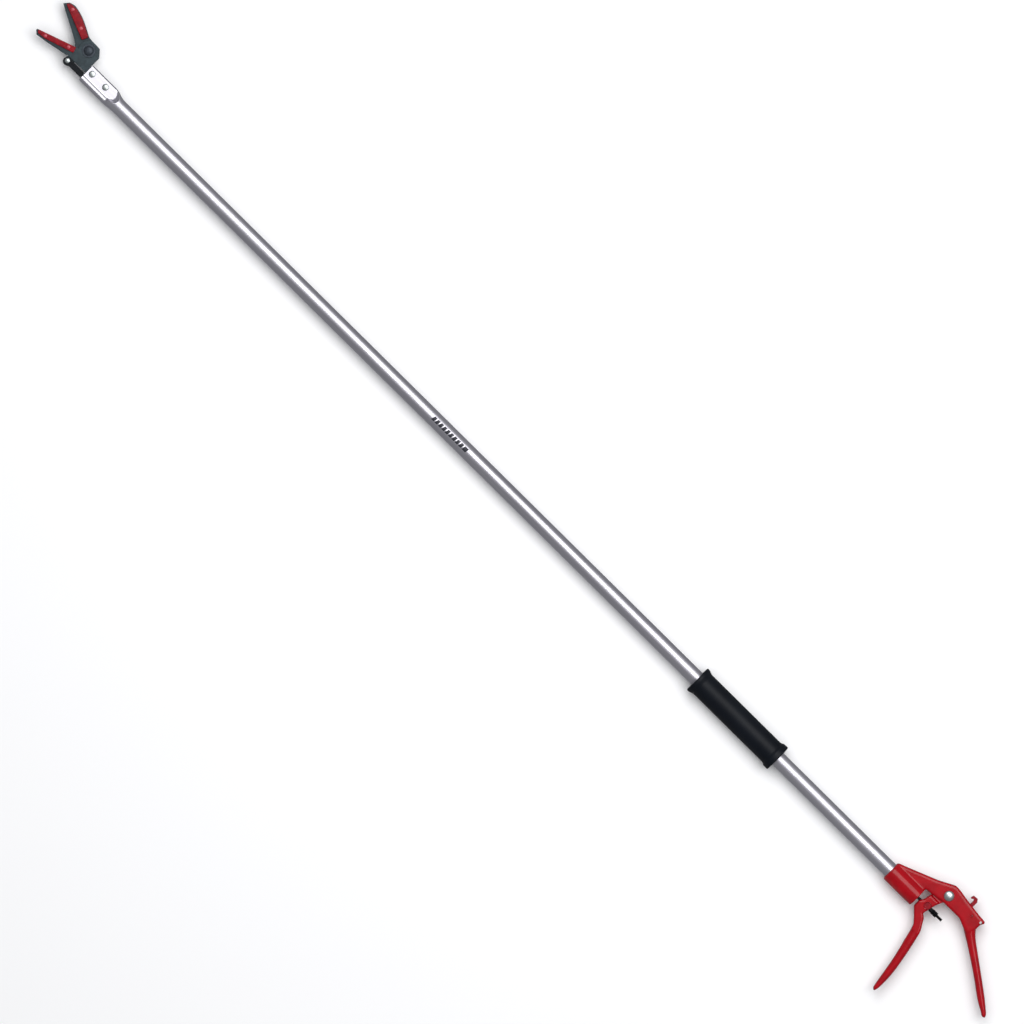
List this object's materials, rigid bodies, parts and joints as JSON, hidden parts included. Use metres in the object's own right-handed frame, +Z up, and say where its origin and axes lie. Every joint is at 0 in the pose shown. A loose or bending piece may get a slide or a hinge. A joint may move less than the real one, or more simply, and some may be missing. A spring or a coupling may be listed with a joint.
{
  "type": "long-reach cut-and-hold pruner",
  "caption": "Long tube with a squeeze handle and trigger at one end and a bypass cutting and gripping head at the other, worked by a rod inside the tube.",
  "frame": {"origin": "bottom centre of the bounding box, with the pole lying flat", "axes": "+X along the tube towards the jaws, +Y towards the side the two levers stand out on, +Z up through the thickness of the castings"},
  "size_m": [1.8024, 0.1825, 0.04],
  "materials": {
    "red_enamel": "glossy red enamel on a die casting",
    "dark_red_enamel": "dark red enamel on steel",
    "tube_aluminium": "satin anodised aluminium",
    "grip_rubber": "moulded matt rubber",
    "coated_steel": "dark low-friction coating on steel",
    "black_steel": "blackened steel",
    "zinc_steel": "bright zinc plate",
    "nylon": "natural moulded nylon",
    "spring_steel": "drawn spring wire"
  },
  "bodies": {
    "pole": {"tube": "tube_aluminium", "tube_rivet_1": "zinc_steel", "tube_rivet_2": "zinc_steel", "head_plate": "coated_steel", "fixed_holder": "dark_red_enamel", "fixed_holder_rivet_1": "dark_red_enamel", "fixed_holder_rivet_2": "dark_red_enamel", "head_pivot_bolt": "black_steel", "head_pivot_washer": "black_steel", "head_pivot_nut": "black_steel", "rod_guide_1": "nylon", "rod_guide_2": "nylon", "rod_guide_3": "nylon", "rod_guide_4": "nylon", "spring_seat": "nylon", "return_spring": "spring_steel", "handle_body": "red_enamel", "trigger_bolt": "zinc_steel", "trigger_nut": "zinc_steel", "lock_slide_pin": "zinc_steel", "socket_screw": "zinc_steel"},
    "grip": {"grip_sleeve": "grip_rubber"},
    "trigger": {"trigger_lever": "red_enamel"},
    "trunnion": {"rod_trunnion": "dark_red_enamel"},
    "rod": {"pull_rod": "black_steel", "link_bar": "black_steel", "rod_spacer": "black_steel", "rod_nut": "black_steel", "lock_nut": "black_steel", "spring_collar": "zinc_steel"},
    "blade": {"moving_blade": "coated_steel", "moving_holder": "dark_red_enamel", "moving_holder_rivet_1": "dark_red_enamel", "moving_holder_rivet_2": "dark_red_enamel", "link_pin": "zinc_steel"},
    "lock": {"lock_slide": "dark_red_enamel"}
  },
  "joints": [
    {"name": "trigger_pivot", "type": "hinge", "parent": "pole", "child": "trigger", "pos_m": [-0.7595, -0.06322, 0.02], "axis": [0, 0, 1], "range_deg": [0, 41], "stiffness_Nm_per_rad": 0.55, "springref_deg": -20.05},
    {"name": "trunnion_pivot", "type": "hinge", "parent": "trigger", "child": "trunnion", "pos_m": [-0.74864, -0.03418, 0.02], "axis": [0, 0, 1], "range_deg": [-41.5, 0.5]},
    {"name": "rod_slide", "type": "slide", "parent": "pole", "child": "rod", "axis": [-1, 0, 0], "range_m": [0, 0.0218], "deforming": ["return_spring"]},
    {"name": "blade_pivot", "type": "hinge", "parent": "pole", "child": "blade", "pos_m": [0.827, -0.0577, 0.02], "axis": [0, 0, 1], "range_deg": [0, 41.5]},
    {"name": "lock_catch", "type": "slide", "parent": "pole", "child": "lock", "axis": [1, 0, 0], "range_m": [0, 0.006]},
    {"name": "grip_slide", "type": "slide", "parent": "pole", "child": "grip", "axis": [1, 0, 0], "range_m": [-0.15, 0.3]}
  ],
  "couplings": [
    {"joint": "trunnion_pivot", "follows": "trigger_pivot", "ratio": -1},
    {"joint": "rod_slide", "follows": "trigger_pivot", "m_per_rad": 0.030343},
    {"joint": "blade_pivot", "follows": "trigger_pivot", "ratio": 1}
  ]
}
